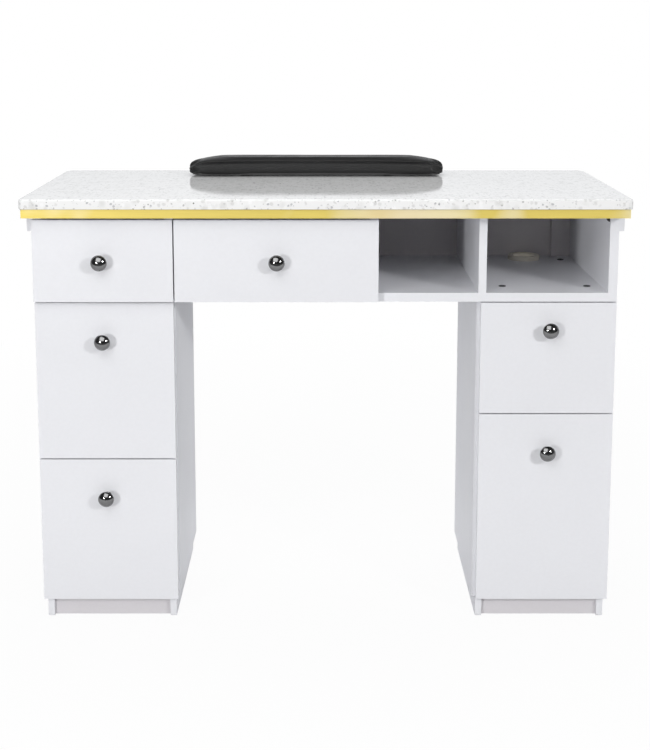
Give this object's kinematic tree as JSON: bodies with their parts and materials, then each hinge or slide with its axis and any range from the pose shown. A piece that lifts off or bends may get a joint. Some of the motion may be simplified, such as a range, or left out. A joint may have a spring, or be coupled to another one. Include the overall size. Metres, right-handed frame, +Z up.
{
  "type": "manicure table",
  "caption": "Two-pedestal manicure table with a stone top, gold edge trim, drawers on slides, open cubbies and a padded armrest.",
  "frame": {"origin": "on the floor, under the middle of the stone top", "axes": "+X to the right seen from the drawer side, +Y to the rear (client side), +Z up"},
  "size_m": [1.067, 0.457, 0.822],
  "materials": {
    "quartz": "polished, with fine grey flecks",
    "white_board": "white melamine-faced board, satin",
    "drawer_board": "white melamine-faced board, matt",
    "gold_trim": "brushed gold",
    "chrome": "polished",
    "zinc_steel": "zinc plated",
    "black_leatherette": "fine-grained leatherette",
    "black_plastic": "moulded black plastic",
    "black_rubber": "matt rubber",
    "cream_plastic": "cream moulded plastic"
  },
  "bodies": {
    "cabinet": {"armrest_base": "black_plastic", "armrest_cushion": "black_leatherette", "armrest_feet": "black_rubber", "cable_grommet": "cream_plastic", "cam_lock_covers": "black_plastic", "centre_divider": "white_board", "cleat_screws": "zinc_steel", "cubby_partition": "white_board", "cubby_shelf": "white_board", "drawer_shelf": "white_board", "front_edge_strip": "gold_trim", "kick_boards": "white_board", "left_cabinet_slides": "zinc_steel", "left_divider": "white_board", "left_pedestal_back": "white_board", "left_pedestal_bottom": "white_board", "left_pedestal_inner_panel": "white_board", "left_pedestal_outer_panel": "white_board", "plinth_runners": "white_board", "rear_corner_cleat": "white_board", "rear_edge_strip": "gold_trim", "right_cabinet_slides": "zinc_steel", "right_pedestal_back": "white_board", "right_pedestal_bottom": "white_board", "right_pedestal_inner_panel": "white_board", "right_pedestal_outer_panel": "white_board", "side_battens": "white_board", "side_edge_strips": "gold_trim", "stone_top": "quartz", "sub_top": "white_board", "top_fixing_blocks": "black_plastic", "upper_back_panel": "white_board", "upper_cabinet_slides": "zinc_steel", "upper_left_side_panel": "white_board", "upper_right_side_panel": "white_board"},
    "top_left_drawer": {"top_left_drawer_box": "drawer_board", "top_left_drawer_front": "white_board", "top_left_drawer_knob": "chrome", "top_left_drawer_slides": "zinc_steel"},
    "centre_drawer": {"centre_drawer_box": "drawer_board", "centre_drawer_front": "white_board", "centre_drawer_knob": "chrome", "centre_drawer_slides": "zinc_steel"},
    "middle_left_drawer": {"middle_left_drawer_box": "drawer_board", "middle_left_drawer_front": "white_board", "middle_left_drawer_knob": "chrome", "middle_left_drawer_slides": "zinc_steel"},
    "bottom_left_drawer": {"bottom_left_drawer_box": "drawer_board", "bottom_left_drawer_front": "white_board", "bottom_left_drawer_knob": "chrome", "bottom_left_drawer_slides": "zinc_steel"},
    "upper_right_drawer": {"upper_right_drawer_box": "drawer_board", "upper_right_drawer_front": "white_board", "upper_right_drawer_knob": "chrome", "upper_right_drawer_slides": "zinc_steel"},
    "lower_right_drawer": {"lower_right_drawer_box": "drawer_board", "lower_right_drawer_front": "white_board", "lower_right_drawer_knob": "chrome", "lower_right_drawer_slides": "zinc_steel"}
  },
  "joints": [
    {"name": "top_left_drawer_slide", "type": "slide", "parent": "cabinet", "child": "top_left_drawer", "axis": [0, -1, 0], "range_m": [0, 0.265]},
    {"name": "centre_drawer_slide", "type": "slide", "parent": "cabinet", "child": "centre_drawer", "axis": [0, -1, 0], "range_m": [0, 0.265]},
    {"name": "middle_left_drawer_slide", "type": "slide", "parent": "cabinet", "child": "middle_left_drawer", "axis": [0, -1, 0], "range_m": [0, 0.19]},
    {"name": "bottom_left_drawer_slide", "type": "slide", "parent": "cabinet", "child": "bottom_left_drawer", "axis": [0, -1, 0], "range_m": [0, 0.19]},
    {"name": "upper_right_drawer_slide", "type": "slide", "parent": "cabinet", "child": "upper_right_drawer", "axis": [0, -1, 0], "range_m": [0, 0.19]},
    {"name": "lower_right_drawer_slide", "type": "slide", "parent": "cabinet", "child": "lower_right_drawer", "axis": [0, -1, 0], "range_m": [0, 0.19]}
  ]
}
